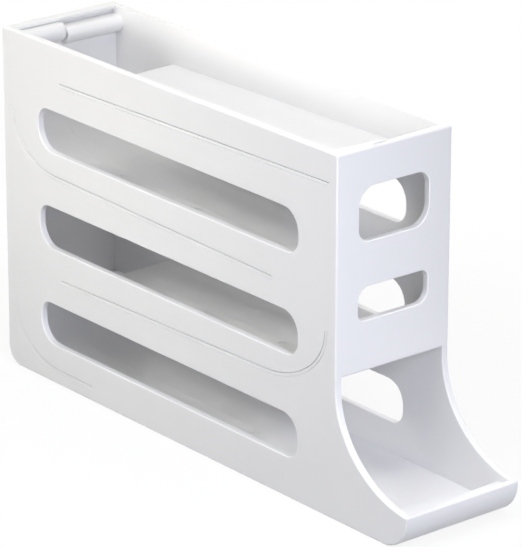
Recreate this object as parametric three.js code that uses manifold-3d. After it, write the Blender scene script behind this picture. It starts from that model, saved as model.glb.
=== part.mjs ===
// Rolling egg dispenser, as a three.js scene in millimetres with Z up.
// Eggs go in at the open top, roll down four ramps in a zigzag and stop at the outlet in front.
// Two moulded side walls carry everything. Each ramp is made of two half-width skins, one on each
// side wall, and the left skin laps over the right one at mid-width. Panels close the ends.
import * as THREE from 'three';
import { mergeVertices } from 'three/addons/utils/BufferGeometryUtils.js';
import Module from 'manifold-3d';

const wasm = await Module();
wasm.setup();

// Overall sizes. X is the width, Y runs from the front face at 0 to the rear, Z is up.
const BODY_WIDTH = 85;
const BODY_LENGTH = 316;
const BODY_HEIGHT = 219.5;
const OUTLET_REACH = 62;
const OUTLET_HEIGHT = 22.2;

// Walls, edges and clearances.
const SIDE_WALL = 4.5;
const FRONT_WALL = 4.5;
const REAR_WALL = 4.5;
const FENCE_WALL = 4.5;
const EDGE_ROUND = 1.2;
const CORNER_ROUND_SHARE = 1.25;
const CLEARANCE = 0.3;
const OVERRUN = 2;
const WELD = 1e-5;

// Outline of the side walls: the scoop over the outlet and the rounded lower corners.
const SCOOP_TOP = 81;
const SCOOP_REACH = 69.2;
const NOSE_RADIUS = 20;
const HEEL_RADIUS = 12;

// Panels between the side walls.
const FRONT_PANEL_SHOULDER = 5;
const REAR_RIM_DEPTH = 3.8;
const REAR_RIM_SKIN = 2.2;
const REAR_FOOT_LENGTH = 14;
const REAR_FOOT_SKIN = 3;
const FENCE_FOOT_SKIN = 1.4;

// Ramps. The shares place each one, from the top down, between the lowest and the highest one.
const TRAY_DEPTH = 22;
const RAMP_HEIGHT_SHARES = [1, 0.661, 0.333, 0];
const RAMP_SLOPE_DEGREES = 1.2;
const OUTLET_SLOPE_DEGREES = 0.6;
const RAMP_SKIN = 2.5;
const RAMP_DRAFT = 1.2;
const LAP_WIDTH = 10;
const LAP_OFFSET = 4.5;
const ROOT_DEPTH = 1.2;
const DROP_GAP = 59;
const FREE_END_RADIUS = 6;
const FREE_END_DEGREES = 40;

// Turns, in which a ramp swings up into an end wall: quarter ellipses with a reach and a rise.
const ENTRY_TURN = { reach: 9, rise: 9 };
const REAR_TURN = { reach: 46.8, rise: 36.4 };
const FRONT_TURN = { reach: 57.5, rise: 40.9 };
const OUTLET_TURN = { reach: 16.5, rise: 12.6 };

// Heads, the rounded upper ends of the skins. The depth is measured from the wall behind, at the
// end beside the lap. The flare is added to it towards the side wall, and the end is rounded.
const ENTRY_SEAT = 0.6;
const ENTRY_HEAD = { depth: 3.25, height: 4, round: 1.2, flare: 1.9, endRound: 1.2 };
const REAR_HEAD = { depth: 12, height: 12, round: 5, flare: 0, endRound: 3 };
const OUTLET_HEAD = { depth: 7.55, height: 4, round: 1.6, flare: 1.9, endRound: 3 };

// Windows in the side walls, one for each covered ramp, and in the front panel.
const WINDOW_FRONT_MARGIN = 33.6;
const WINDOW_REAR_MARGIN = 35.7;
const WINDOW_HEIGHT = 26.8;
const WINDOW_RISE = 17.6;
const WINDOW_ROUND = { leftTop: 13.5, rightTop: 9, rightFoot: 14.5, leftFoot: 10 };
const FRONT_WINDOW_WIDTH = 52;
const UPPER_FRONT_WINDOW = { rise: 30.9, height: 32.4 };
const UPPER_FRONT_ROUND = { leftTop: 12, rightTop: 8.5, rightFoot: 12, leftFoot: 8 };
const LOWER_FRONT_WINDOW = { rise: 45.9, height: 20 };
const LOWER_FRONT_ROUND = { leftTop: 8, rightTop: 5.5, rightFoot: 8, leftFoot: 4.5 };

// Shallow grooves outside on the side walls, along the ramps inside.
const GROOVE_WIDTH = 2;
const GROOVE_DEPTH = 0.9;
const GROOVE_LEAD = 6;
const TOP_GROOVE_INSET = 3;
const LOW_GROOVE_LENGTH = 81.5;

// Joints: studs through the laps, and tabs of the panels in sockets of the side walls.
const STUD_DIAMETER = 4;
const STUD_SHARES = [0.12, 0.5, 0.88];
const TAB_LENGTH = 12;
const TAB_THICKNESS = 2;
const TAB_DEPTH = 1.5;
const TAB_SHARES = [0.15, 0.45, 0.75];
const FENCE_TAB_LENGTH = 5;
const FENCE_TAB_THICKNESS = 1.5;

// Fineness of the round stretches.
const TURN_STEPS = 18;
const CORNER_STEPS = 6;
const SCOOP_STEPS = 24;
const BEVEL_STEPS = 2;
const HEAD_END_STEPS = 3;
const STUD_SIDES = 16;

// Places that follow from the sizes above.
const OUTER_X = BODY_WIDTH / 2;
const INNER_X = OUTER_X - SIDE_WALL;
const MIDDLE_Y = BODY_LENGTH / 2;
const CENTRE_Y = (BODY_LENGTH - OUTLET_REACH) / 2;
const FRONT_INNER_Y = FRONT_WALL;
const REAR_INNER_Y = BODY_LENGTH - REAR_WALL;
const FENCE_INNER_Y = FENCE_WALL - OUTLET_REACH;
const PANEL_FOOT = SCOOP_TOP + FRONT_PANEL_SHOULDER;
const LAYER = RAMP_SKIN + CLEARANCE;
const SEAT = CLEARANCE + RAMP_SKIN + CLEARANCE / 2;
const CORNER_ROUND = EDGE_ROUND * CORNER_ROUND_SHARE;
const LAP_EDGE_X = -LAP_OFFSET;
const REBATE_DEPTH = SEAT - ENTRY_SEAT;
const LEFT = -1;
const RIGHT = 1;
const QUARTER = Math.PI / 2;
const slopeOf = (angle) => Math.tan(THREE.MathUtils.degToRad(angle));

// The ramps, from the top down. falls is +1 where eggs roll to the rear and -1 where they roll
// to the front. An end that turns up has the inner face of its wall, and the seat between that
// face and the lap surface. A right head drops by one layer under the left one. The right head of
// the top ramp is level with it instead, and stands one layer back, in a rebate of the panel.
const RAMPS = {
  ramp_1: {
    heightShare: RAMP_HEIGHT_SHARES[0],
    falls: 1,
    slope: slopeOf(RAMP_SLOPE_DEGREES),
    front: { toward: -1, inner: FRONT_INNER_Y, seat: ENTRY_SEAT, turn: ENTRY_TURN },
    head: { ...ENTRY_HEAD, top: BODY_HEIGHT - CLEARANCE, at: 'front', drop: 0 },
  },
  ramp_2: {
    heightShare: RAMP_HEIGHT_SHARES[1],
    falls: -1,
    slope: slopeOf(RAMP_SLOPE_DEGREES),
    rear: { toward: 1, inner: REAR_INNER_Y, seat: SEAT, turn: REAR_TURN },
    head: { ...REAR_HEAD, top: BODY_HEIGHT - REAR_RIM_SKIN - CLEARANCE, at: 'rear', drop: LAYER },
  },
  ramp_3: {
    heightShare: RAMP_HEIGHT_SHARES[2],
    falls: 1,
    slope: slopeOf(RAMP_SLOPE_DEGREES),
    front: { toward: -1, inner: FRONT_INNER_Y, seat: SEAT, turn: FRONT_TURN },
  },
  ramp_4: {
    heightShare: RAMP_HEIGHT_SHARES[3],
    falls: -1,
    slope: slopeOf(OUTLET_SLOPE_DEGREES),
    front: { toward: -1, inner: FENCE_INNER_Y, seat: SEAT, turn: OUTLET_TURN },
    rear: { toward: 1, inner: REAR_INNER_Y, seat: SEAT, turn: REAR_TURN },
    head: { ...OUTLET_HEAD, top: OUTLET_HEIGHT - CLEARANCE, at: 'front', drop: LAYER },
  },
};

// Where the lap surface stands upright in front of a wall.
const uprightY = ({ toward, inner, seat }) => inner - toward * seat;

// Solids are made from three.js geometry, then cut and joined.
function solidOf(geometry) {
  geometry.deleteAttribute('normal');
  geometry.deleteAttribute('uv');
  const merged = mergeVertices(geometry, WELD);
  return new wasm.Manifold(new wasm.Mesh({
    numProp: 3,
    vertProperties: merged.attributes.position.array,
    triVerts: new Uint32Array(merged.index.array),
  }));
}

function geometryOf(solid) {
  const mesh = solid.getMesh();
  const geometry = new THREE.BufferGeometry();
  geometry.setAttribute('position', new THREE.BufferAttribute(mesh.vertProperties, 3));
  geometry.setIndex(new THREE.BufferAttribute(mesh.triVerts, 1));
  geometry.computeVertexNormals();
  return geometry;
}

const join = (first, ...others) => others.reduce((whole, other) => whole.add(other), first);
const cut = (first, ...tools) => tools.reduce((whole, tool) => whole.subtract(tool), first);

// A block between two opposite corners.
function block(low, high) {
  const box = new THREE.Box3(new THREE.Vector3(...low), new THREE.Vector3(...high));
  const size = box.getSize(new THREE.Vector3());
  const geometry = new THREE.BoxGeometry(size.x, size.y, size.z);
  geometry.translate(...box.getCenter(new THREE.Vector3()));
  return solidOf(geometry);
}

// Turns an extrusion so that its own X, Y and depth lie along the three given axes.
function turned(geometry, across, up, depth) {
  const axes = [across, up, depth].map((axis) => new THREE.Vector3(...axis));
  return geometry.applyMatrix4(new THREE.Matrix4().makeBasis(...axes));
}

// A shape drawn in Y and Z, extruded along X.
function extrudeAcross(shape, fromX, toX) {
  const settings = { depth: toX - fromX, bevelEnabled: false, curveSegments: CORNER_STEPS };
  const geometry = new THREE.ExtrudeGeometry(shape, settings);
  turned(geometry, [0, 1, 0], [0, 0, 1], [1, 0, 0]).translate(fromX, 0, 0);
  return solidOf(geometry);
}

// A plate whose outer face has rounded edges. Its inner face, at depth 0, is cut plain later on.
function roundedPlate(shape, thickness) {
  return new THREE.ExtrudeGeometry(shape, {
    depth: thickness - EDGE_ROUND,
    bevelEnabled: true,
    bevelThickness: EDGE_ROUND,
    bevelSize: EDGE_ROUND,
    bevelOffset: -EDGE_ROUND,
    bevelSegments: BEVEL_STEPS,
    curveSegments: CORNER_STEPS,
  });
}

// The mirror image of a geometry across the plane X = 0, with its faces turned out again.
function mirrored(geometry) {
  const image = mergeVertices(geometry.deleteAttribute('normal').deleteAttribute('uv'), WELD);
  image.scale(-1, 1, 1);
  const { array } = image.index;
  for (let i = 0; i < array.length; i += 3) {
    [array[i], array[i + 1]] = [array[i + 1], array[i]];
  }
  return image;
}

// Joins sections that have the same points in the same order, each at its own X, from low to high.
function loft(sections) {
  const count = sections[0].points.length;
  if (THREE.ShapeUtils.isClockWise(sections[0].points)) {
    sections.forEach(({ points }) => points.reverse());
  }
  const positions = sections.flatMap(({ x, points }) => points.flatMap((p) => [x, p.x, p.y]));
  const faces = [];
  for (let s = 0; s < sections.length - 1; s += 1) {
    for (let i = 0; i < count; i += 1) {
      const near = s * count;
      const next = (i + 1) % count;
      const far = near + count;
      faces.push(near + i, near + next, far + i, near + next, far + next, far + i);
    }
  }
  const last = (sections.length - 1) * count;
  for (const [a, b, c] of THREE.ShapeUtils.triangulateShape(sections[0].points, [])) {
    faces.push(a, c, b);
  }
  for (const [a, b, c] of THREE.ShapeUtils.triangulateShape(sections.at(-1).points, [])) {
    faces.push(last + a, last + b, last + c);
  }
  const geometry = new THREE.BufferGeometry();
  geometry.setAttribute('position', new THREE.Float32BufferAttribute(positions, 3));
  geometry.setIndex(faces);
  return solidOf(geometry);
}

// A rectangle with its own radius at each corner.
function roundedRectangle(left, foot, right, top, round) {
  const { leftTop, rightTop, rightFoot, leftFoot } = round;
  const path = new THREE.Shape();
  path.moveTo(left + leftFoot, foot);
  path.absarc(right - rightFoot, foot + rightFoot, rightFoot, -QUARTER, 0);
  path.absarc(right - rightTop, top - rightTop, rightTop, 0, QUARTER);
  path.absarc(left + leftTop, top - leftTop, leftTop, QUARTER, 2 * QUARTER);
  path.absarc(left + leftFoot, foot + leftFoot, leftFoot, 2 * QUARTER, 3 * QUARTER);
  return path;
}

// The middle of a ramp's left skin, half-way along the body.
function rampHeight(name) {
  const fall = RAMPS.ramp_4.slope * (MIDDLE_Y - (FENCE_INNER_Y + SEAT + OUTLET_TURN.reach));
  const lowest = FENCE_FOOT_SKIN + SEAT + LAYER / 2 + fall;
  const highest = BODY_HEIGHT - TRAY_DEPTH;
  return THREE.MathUtils.lerp(lowest, highest, RAMPS[name].heightShare);
}

// Height at y of the straight lap surface, on which the left skin lies over the right one.
function lapHeight(name, y) {
  const { falls, slope } = RAMPS[name];
  return rampHeight(name) - LAYER / 2 + falls * slope * (MIDDLE_Y - y);
}

// The lap surface through a turn, from the straight stretch to the upright end.
function turnPoints(name, end) {
  const { falls, slope } = RAMPS[name];
  const { toward } = end;
  const { reach, rise } = end.turn;
  const start = Math.atan(-toward * falls * slope * reach / rise);
  const centreY = uprightY(end) - toward * reach;
  const centreZ = lapHeight(name, centreY + toward * reach * Math.sin(start)) + rise * Math.cos(start);
  return Array.from({ length: TURN_STEPS + 1 }, (_, i) => {
    const angle = THREE.MathUtils.lerp(start, QUARTER, i / TURN_STEPS);
    const y = centreY + toward * reach * Math.sin(angle);
    return new THREE.Vector2(y, centreZ - rise * Math.cos(angle));
  });
}

// Where a ramp stops beside the drop to the next one.
const freeEndY = (toward) => (toward > 0 ? REAR_INNER_Y - DROP_GAP : FRONT_INNER_Y + DROP_GAP);

// The lap surface bends down at a free end, so that an egg tips over it gently.
function freeEndPoints(name, toward) {
  const bend = THREE.MathUtils.degToRad(FREE_END_DEGREES);
  const startY = freeEndY(toward) - toward * FREE_END_RADIUS * Math.sin(bend);
  return Array.from({ length: CORNER_STEPS + 1 }, (_, i) => {
    const angle = bend * i / CORNER_STEPS;
    const y = startY + toward * FREE_END_RADIUS * Math.sin(angle);
    return new THREE.Vector2(y, lapHeight(name, startY) - FREE_END_RADIUS * (1 - Math.cos(angle)));
  });
}

// The height to which the skin of a side stands up under its head. The right one ends lower,
// because its lap lies behind the left skin and under the left head.
function skinTop(head, side) {
  return side === LEFT ? head.top - head.height / 2 : head.top - head.height - CLEARANCE;
}

// One end of the lap surface, from the straight stretch outwards.
function endPoints(name, place, side) {
  const toward = place === 'rear' ? 1 : -1;
  const end = RAMPS[name][place];
  if (!end) {
    return freeEndPoints(name, toward);
  }
  const points = turnPoints(name, end);
  const { head } = RAMPS[name];
  if (head?.at === place) {
    points.push(new THREE.Vector2(uprightY(end), skinTop(head, side)));
  }
  return points;
}

const lapPath = (name, side) => [
  ...endPoints(name, 'front', side).reverse(),
  ...endPoints(name, 'rear', side),
];

// A path moved sideways. A positive distance goes to the side on which the eggs roll.
function offsetPath(path, distance) {
  return path.map((point, i) => {
    const before = path[Math.max(i - 1, 0)];
    const after = path[Math.min(i + 1, path.length - 1)];
    const along = after.clone().sub(before).normalize();
    return new THREE.Vector2(point.x - along.y * distance, point.y + along.x * distance);
  });
}

// A path with both of its ends made longer.
function lengthened(path, extra) {
  const beyond = (end, inner) => end.clone().add(end.clone().sub(inner).setLength(extra));
  return [beyond(path[0], path[1]), ...path.slice(1, -1), beyond(path.at(-1), path.at(-2))];
}

// The closed outline between two distances from a path.
const band = (path, low, high) => [...offsetPath(path, low), ...offsetPath(path, high).reverse()];

// Where the skin of a side starts: the left one lies on the lap surface, the right one under it.
const skinBase = (side) => (side === LEFT ? CLEARANCE / 2 : CLEARANCE / 2 - LAYER);

// A half-width skin, thin at the lap and thicker by the draft at its root in the side wall.
function skin(name, side) {
  const path = lapPath(name, side);
  const base = skinBase(side);
  const section = (x, thickness) => ({ x, points: band(path, base, base + thickness) });
  const root = RAMP_SKIN + RAMP_DRAFT;
  const rootX = INNER_X + ROOT_DEPTH;
  if (side === LEFT) {
    return loft([section(-rootX, root), section(-INNER_X, root), section(LAP_EDGE_X, RAMP_SKIN)]);
  }
  return loft([
    section(LAP_EDGE_X - LAP_WIDTH, RAMP_SKIN), section(LAP_EDGE_X, RAMP_SKIN),
    section(INNER_X, root), section(rootX, root),
  ]);
}

// The slot in a side wall that holds the root of a skin, with clearance all round it.
function rootSlot(name, side) {
  const path = lengthened(lapPath(name, side), CLEARANCE);
  const base = skinBase(side);
  const outline = band(path, base - CLEARANCE, base + RAMP_SKIN + RAMP_DRAFT + CLEARANCE);
  const depth = ROOT_DEPTH + CLEARANCE;
  const [fromX, toX] = side === LEFT
    ? [-INNER_X - depth, -INNER_X + OVERRUN] : [INNER_X - OVERRUN, INNER_X + depth];
  return extrudeAcross(new THREE.Shape(outline), fromX, toX);
}

// Points of a quarter ellipse in Y and Z that turns down. A negative reach lies towards the front.
function quarterEllipse(centreY, centreZ, reach, rise, from) {
  return Array.from({ length: CORNER_STEPS + 1 }, (_, i) => {
    const angle = from - QUARTER * i / CORNER_STEPS;
    return new THREE.Vector2(centreY + reach * Math.cos(angle), centreZ + rise * Math.sin(angle));
  });
}

// A section of the head of a skin, with its nose drawn back by retreat. It reaches from the wall
// to a round nose and rolls back to the skin. The right one starts at the back of its skin.
function headSection(name, side, x, retreat) {
  const { head } = RAMPS[name];
  const end = RAMPS[name][head.at];
  const { toward, inner } = end;
  const right = side === RIGHT ? LAYER : 0;
  const drop = side === RIGHT ? head.drop : 0;
  const flare = head.flare * (x - LAP_EDGE_X) / (side * INNER_X - LAP_EDGE_X);
  const top = head.top - drop;
  const foot = head.top - head.height - right;
  const back = side === LEFT ? inner - toward * CLEARANCE : uprightY(end) - toward * skinBase(side);
  const nose = inner - toward * (head.depth - (right - drop) + flare - retreat);
  const face = uprightY(end) - toward * (skinBase(side) + RAMP_SKIN / 2);
  const shoulder = top - head.round;
  const points = [
    new THREE.Vector2(back, foot), new THREE.Vector2(back, top),
    ...quarterEllipse(nose + toward * head.round, shoulder, -toward * head.round, head.round, QUARTER),
    ...quarterEllipse(face, shoulder, nose - face, shoulder - foot, 0).slice(1),
  ];
  return { x, points };
}

// The head of a skin. The left one has a rounded end beside the lap.
function skinHead(name, side) {
  const { endRound } = RAMPS[name].head;
  const wallX = side * (INNER_X - CLEARANCE);
  if (side === RIGHT) {
    return loft([LAP_EDGE_X + CLEARANCE, wallX].map((x) => headSection(name, side, x, 0)));
  }
  const end = Array.from({ length: HEAD_END_STEPS + 1 }, (_, i) => {
    const angle = QUARTER * i / HEAD_END_STEPS;
    const x = LAP_EDGE_X - endRound * (1 - Math.sin(angle));
    return headSection(name, side, x, endRound * (1 - Math.cos(angle)));
  });
  return loft([headSection(name, side, wallX, 0), ...end]);
}

// Where the studs of a ramp stand along its straight stretch.
function studPlaces(name) {
  const straight = (place, toward) => {
    const end = RAMPS[name][place];
    return end ? uprightY(end) - toward * end.turn.reach : freeEndY(toward) - toward * FREE_END_RADIUS;
  };
  const ends = [straight('front', -1), straight('rear', 1)];
  return STUD_SHARES.map((share) => THREE.MathUtils.lerp(...ends, share));
}

// A stud of the right skin in the middle of the lap, or the wider hole for it in the left skin.
function stud(name, y, diameter, rise) {
  const foot = lapHeight(name, y) - RAMP_SKIN / 2;
  const height = rise + RAMP_SKIN / 2;
  const geometry = new THREE.CylinderGeometry(diameter / 2, diameter / 2, height, STUD_SIDES);
  geometry.rotateX(QUARTER);
  geometry.translate(LAP_EDGE_X - LAP_WIDTH / 2, y, foot + height / 2);
  return solidOf(geometry);
}

// One half of a ramp.
function rampHalf(name, side) {
  const solid = join(skin(name, side), ...(RAMPS[name].head ? [skinHead(name, side)] : []));
  const places = studPlaces(name);
  if (side === LEFT) {
    const bore = STUD_DIAMETER + 2 * CLEARANCE;
    return cut(solid, ...places.map((y) => stud(name, y, bore, RAMP_SKIN + OVERRUN)));
  }
  return join(solid, ...places.map((y) => stud(name, y, STUD_DIAMETER, RAMP_SKIN)));
}

// The edge of the scoop: part of an ellipse from the front face down to the top of the fence.
function scoopPoints() {
  const end = Math.acos(1 - OUTLET_REACH / SCOOP_REACH);
  const rise = (SCOOP_TOP - OUTLET_HEIGHT) / Math.sin(end);
  return Array.from({ length: SCOOP_STEPS + 1 }, (_, i) => {
    const angle = end * i / SCOOP_STEPS;
    return new THREE.Vector2(SCOOP_REACH * (Math.cos(angle) - 1), SCOOP_TOP - rise * Math.sin(angle));
  });
}

// The outline of a side wall, drawn in Y and Z.
function sideOutline() {
  const shape = new THREE.Shape();
  shape.moveTo(NOSE_RADIUS - OUTLET_REACH, 0);
  shape.absarc(BODY_LENGTH - HEEL_RADIUS, HEEL_RADIUS, HEEL_RADIUS, -QUARTER, 0);
  shape.absarc(BODY_LENGTH - CORNER_ROUND, BODY_HEIGHT - CORNER_ROUND, CORNER_ROUND, 0, QUARTER);
  shape.absarc(CORNER_ROUND, BODY_HEIGHT - CORNER_ROUND, CORNER_ROUND, QUARTER, 2 * QUARTER);
  scoopPoints().forEach((point) => shape.lineTo(point.x, point.y));
  shape.absarc(NOSE_RADIUS - OUTLET_REACH, NOSE_RADIUS, NOSE_RADIUS, 2 * QUARTER, 3 * QUARTER);
  return shape;
}

// The window that shows the eggs on a ramp.
function sideWindow(name) {
  const foot = rampHeight(name) + WINDOW_RISE;
  const rear = BODY_LENGTH - WINDOW_REAR_MARGIN;
  return roundedRectangle(WINDOW_FRONT_MARGIN, foot, rear, foot + WINDOW_HEIGHT, WINDOW_ROUND);
}

// The line of a groove: the middle of the skin, with a straight lead past the free end.
function groovePath(name, side) {
  const { front, rear, falls } = RAMPS[name];
  const middle = skinBase(side) + RAMP_SKIN / 2;
  const at = (y) => new THREE.Vector2(y, lapHeight(name, y));
  const lines = {
    ramp_1: () => [at(FRONT_INNER_Y + TOP_GROOVE_INSET), at(freeEndY(falls) + GROOVE_LEAD)],
    ramp_2: () => [at(freeEndY(falls) - GROOVE_LEAD), ...turnPoints(name, rear)],
    ramp_3: () => [...turnPoints(name, front).reverse(), at(freeEndY(falls) + GROOVE_LEAD)],
    ramp_4: () => [at(REAR_INNER_Y - LOW_GROOVE_LENGTH), ...turnPoints(name, rear)],
  };
  return offsetPath(lines[name](), middle);
}

// A groove with round ends, as the tool that cuts it.
function groove(name, side) {
  const path = groovePath(name, side);
  const radius = GROOVE_WIDTH / 2;
  const roundEnd = (end, inner) => {
    const along = end.clone().sub(inner).angle();
    return Array.from({ length: CORNER_STEPS - 1 }, (_, i) => {
      const angle = along - QUARTER + 2 * QUARTER * (i + 1) / CORNER_STEPS;
      return new THREE.Vector2(Math.cos(angle), Math.sin(angle)).multiplyScalar(radius).add(end);
    });
  };
  const outline = [
    ...offsetPath(path, -radius), ...roundEnd(path.at(-1), path.at(-2)),
    ...offsetPath(path, radius).reverse(), ...roundEnd(path[0], path[1]),
  ];
  const [fromX, toX] = side === LEFT
    ? [-OUTER_X - OVERRUN, GROOVE_DEPTH - OUTER_X] : [OUTER_X - GROOVE_DEPTH, OUTER_X + OVERRUN];
  return extrudeAcross(new THREE.Shape(outline), fromX, toX);
}

// Tabs of the panels, each given by its middle in Y and Z, its thickness in Y and its length in Z.
function tabPlaces() {
  const middles = (foot) => TAB_SHARES.map((share) => THREE.MathUtils.lerp(foot, BODY_HEIGHT, share));
  const size = { thick: TAB_THICKNESS, long: TAB_LENGTH };
  const fenceSize = { thick: FENCE_TAB_THICKNESS, long: FENCE_TAB_LENGTH };
  const fenceTabZ = OUTLET_HEIGHT - FENCE_TAB_LENGTH;
  return {
    front: middles(PANEL_FOOT).map((z) => ({ y: FRONT_WALL / 2, z, ...size })),
    rear: middles(HEEL_RADIUS).map((z) => ({ y: BODY_LENGTH - REAR_WALL / 2, z, ...size })),
    fence: [{ y: FENCE_WALL / 2 - OUTLET_REACH, z: fenceTabZ, ...fenceSize }],
  };
}

// A tab on the edge of a panel, or with a clearance the socket for it in the side wall.
function tab({ y, z, thick, long }, side, clearance) {
  const reach = INNER_X + TAB_DEPTH + clearance;
  const halfY = thick / 2 + clearance;
  const halfZ = long / 2 + clearance;
  const [fromX, toX] = side === LEFT
    ? [-reach, OVERRUN - INNER_X] : [INNER_X - OVERRUN, reach];
  return block([fromX, y - halfY, z - halfZ], [toX, y + halfY, z + halfZ]);
}

const withTabs = (panel, places) => join(
  panel, ...places.flatMap((place) => [tab(place, LEFT, 0), tab(place, RIGHT, 0)]),
);

// A side wall with its windows, grooves outside, and slots and sockets inside.
function sideWall(side) {
  const shape = sideOutline();
  shape.holes = ['ramp_2', 'ramp_3', 'ramp_4'].map(sideWindow);
  const plate = turned(roundedPlate(shape, SIDE_WALL), [0, 1, 0], [0, 0, 1], [1, 0, 0]);
  plate.translate(INNER_X, 0, 0);
  const inside = block(
    [-INNER_X, -OUTLET_REACH - OVERRUN, -OVERRUN],
    [INNER_X, BODY_LENGTH + OVERRUN, BODY_HEIGHT + OVERRUN],
  );
  const sockets = Object.values(tabPlaces()).flat().map((place) => tab(place, side, CLEARANCE));
  const names = Object.keys(RAMPS);
  return cut(
    solidOf(side === LEFT ? mirrored(plate) : plate), inside, ...sockets,
    ...names.map((name) => groove(name, side)), ...names.map((name) => rootSlot(name, side)),
  );
}

// A window of the front panel, over the ramp that it looks onto.
function frontWindow(name, { rise, height }, round) {
  const foot = rampHeight(name) + rise;
  const half = FRONT_WINDOW_WIDTH / 2;
  return roundedRectangle(-half, foot, half, foot + height, round);
}

// The front panel closes the body above the scoop. A rebate holds the top ramp's right skin.
function frontPanel() {
  const wide = OUTER_X + OVERRUN;
  const shape = new THREE.Shape();
  shape.moveTo(-wide, PANEL_FOOT).lineTo(wide, PANEL_FOOT);
  shape.lineTo(wide, BODY_HEIGHT).lineTo(-wide, BODY_HEIGHT);
  shape.holes = [
    frontWindow('ramp_2', UPPER_FRONT_WINDOW, UPPER_FRONT_ROUND),
    frontWindow('ramp_3', LOWER_FRONT_WINDOW, LOWER_FRONT_ROUND),
  ];
  const plate = turned(roundedPlate(shape, FRONT_WALL), [1, 0, 0], [0, 0, 1], [0, -1, 0]);
  plate.translate(0, FRONT_WALL, 0);
  const within = block([-INNER_X, 0, 0], [INNER_X, FRONT_WALL, BODY_HEIGHT]);
  const rebate = block(
    [
      LAP_EDGE_X - LAP_WIDTH - CLEARANCE,
      FRONT_WALL - REBATE_DEPTH,
      lapHeight('ramp_1', FRONT_INNER_Y) + CLEARANCE,
    ],
    [INNER_X + OVERRUN, FRONT_WALL + OVERRUN, BODY_HEIGHT + OVERRUN],
  );
  return withTabs(cut(solidOf(plate).intersect(within), rebate), tabPlaces().front);
}

// The rear panel has a rim turned in at the top and a foot turned in round the heel.
function rearPanel() {
  const rimY = REAR_INNER_Y - REAR_RIM_DEPTH;
  const heelY = BODY_LENGTH - HEEL_RADIUS;
  const shape = new THREE.Shape();
  shape.moveTo(heelY - REAR_FOOT_LENGTH, 0);
  shape.absarc(heelY, HEEL_RADIUS, HEEL_RADIUS, -QUARTER, 0);
  shape.absarc(BODY_LENGTH - CORNER_ROUND, BODY_HEIGHT - CORNER_ROUND, CORNER_ROUND, 0, QUARTER);
  shape.lineTo(rimY, BODY_HEIGHT);
  shape.lineTo(rimY, BODY_HEIGHT - REAR_RIM_SKIN);
  shape.lineTo(REAR_INNER_Y, BODY_HEIGHT - REAR_RIM_SKIN);
  shape.absellipse(
    heelY, HEEL_RADIUS, HEEL_RADIUS - REAR_WALL, HEEL_RADIUS - REAR_FOOT_SKIN, 0, -QUARTER, true,
  );
  shape.lineTo(heelY - REAR_FOOT_LENGTH, REAR_FOOT_SKIN);
  return withTabs(extrudeAcross(shape, -INNER_X, INNER_X), tabPlaces().rear);
}

// The fence of the outlet. Inside it follows the turned-up end of the lowest ramp.
function outletFence() {
  const inner = offsetPath(turnPoints('ramp_4', RAMPS.ramp_4.front).reverse(), -SEAT);
  const noseY = NOSE_RADIUS - OUTLET_REACH;
  const outer = OUTLET_HEIGHT - CORNER_ROUND;
  const shape = new THREE.Shape();
  shape.moveTo(FENCE_INNER_Y, OUTLET_HEIGHT);
  shape.absarc(CORNER_ROUND - OUTLET_REACH, outer, CORNER_ROUND, QUARTER, 2 * QUARTER);
  shape.absarc(noseY, NOSE_RADIUS, NOSE_RADIUS, 2 * QUARTER, 3 * QUARTER);
  shape.lineTo(inner.at(-1).x, 0);
  inner.reverse().forEach((point) => shape.lineTo(point.x, point.y));
  return withTabs(extrudeAcross(shape, -INNER_X, INNER_X), tabPlaces().fence);
}

// Glossy white plastic, a shade cooler on the panels that face the front.
const plastic = (color) => new THREE.MeshStandardMaterial({ color, roughness: 0.35, metalness: 0 });

function mesh(name, solid, color) {
  const piece = new THREE.Mesh(geometryOf(solid), plastic(color));
  piece.name = name;
  return piece;
}

// One half of the dispenser: a side wall with its four ramp skins.
function half(side) {
  const group = new THREE.Group();
  const word = side === LEFT ? 'left' : 'right';
  group.add(mesh(`side_wall_${word}`, sideWall(side), 0xeeeeee));
  for (const name of Object.keys(RAMPS)) {
    group.add(mesh(`${name}_${word}`, rampHalf(name, side), 0xf1f1f1));
  }
  return group;
}

const dispenser = new THREE.Group();
dispenser.add(half(LEFT), half(RIGHT));
dispenser.add(mesh('front_panel', frontPanel(), 0xe6e9f2));
dispenser.add(mesh('rear_panel', rearPanel(), 0xeeeeee));
dispenser.add(mesh('outlet_fence', outletFence(), 0xe6e9f2));
dispenser.position.y = -CENTRE_Y;

export default dispenser;
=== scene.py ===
"""Looks of the rolling egg dispenser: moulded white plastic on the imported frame, in metres."""

from collections import namedtuple
from functools import partial
from math import acos, atan, atan2, ceil, copysign, cos, degrees, pi, radians, sin, sqrt, tan

import bmesh
import bpy
from bpy.props import FloatProperty, FloatVectorProperty, IntProperty, PointerProperty
from mathutils import Matrix, Vector


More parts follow.
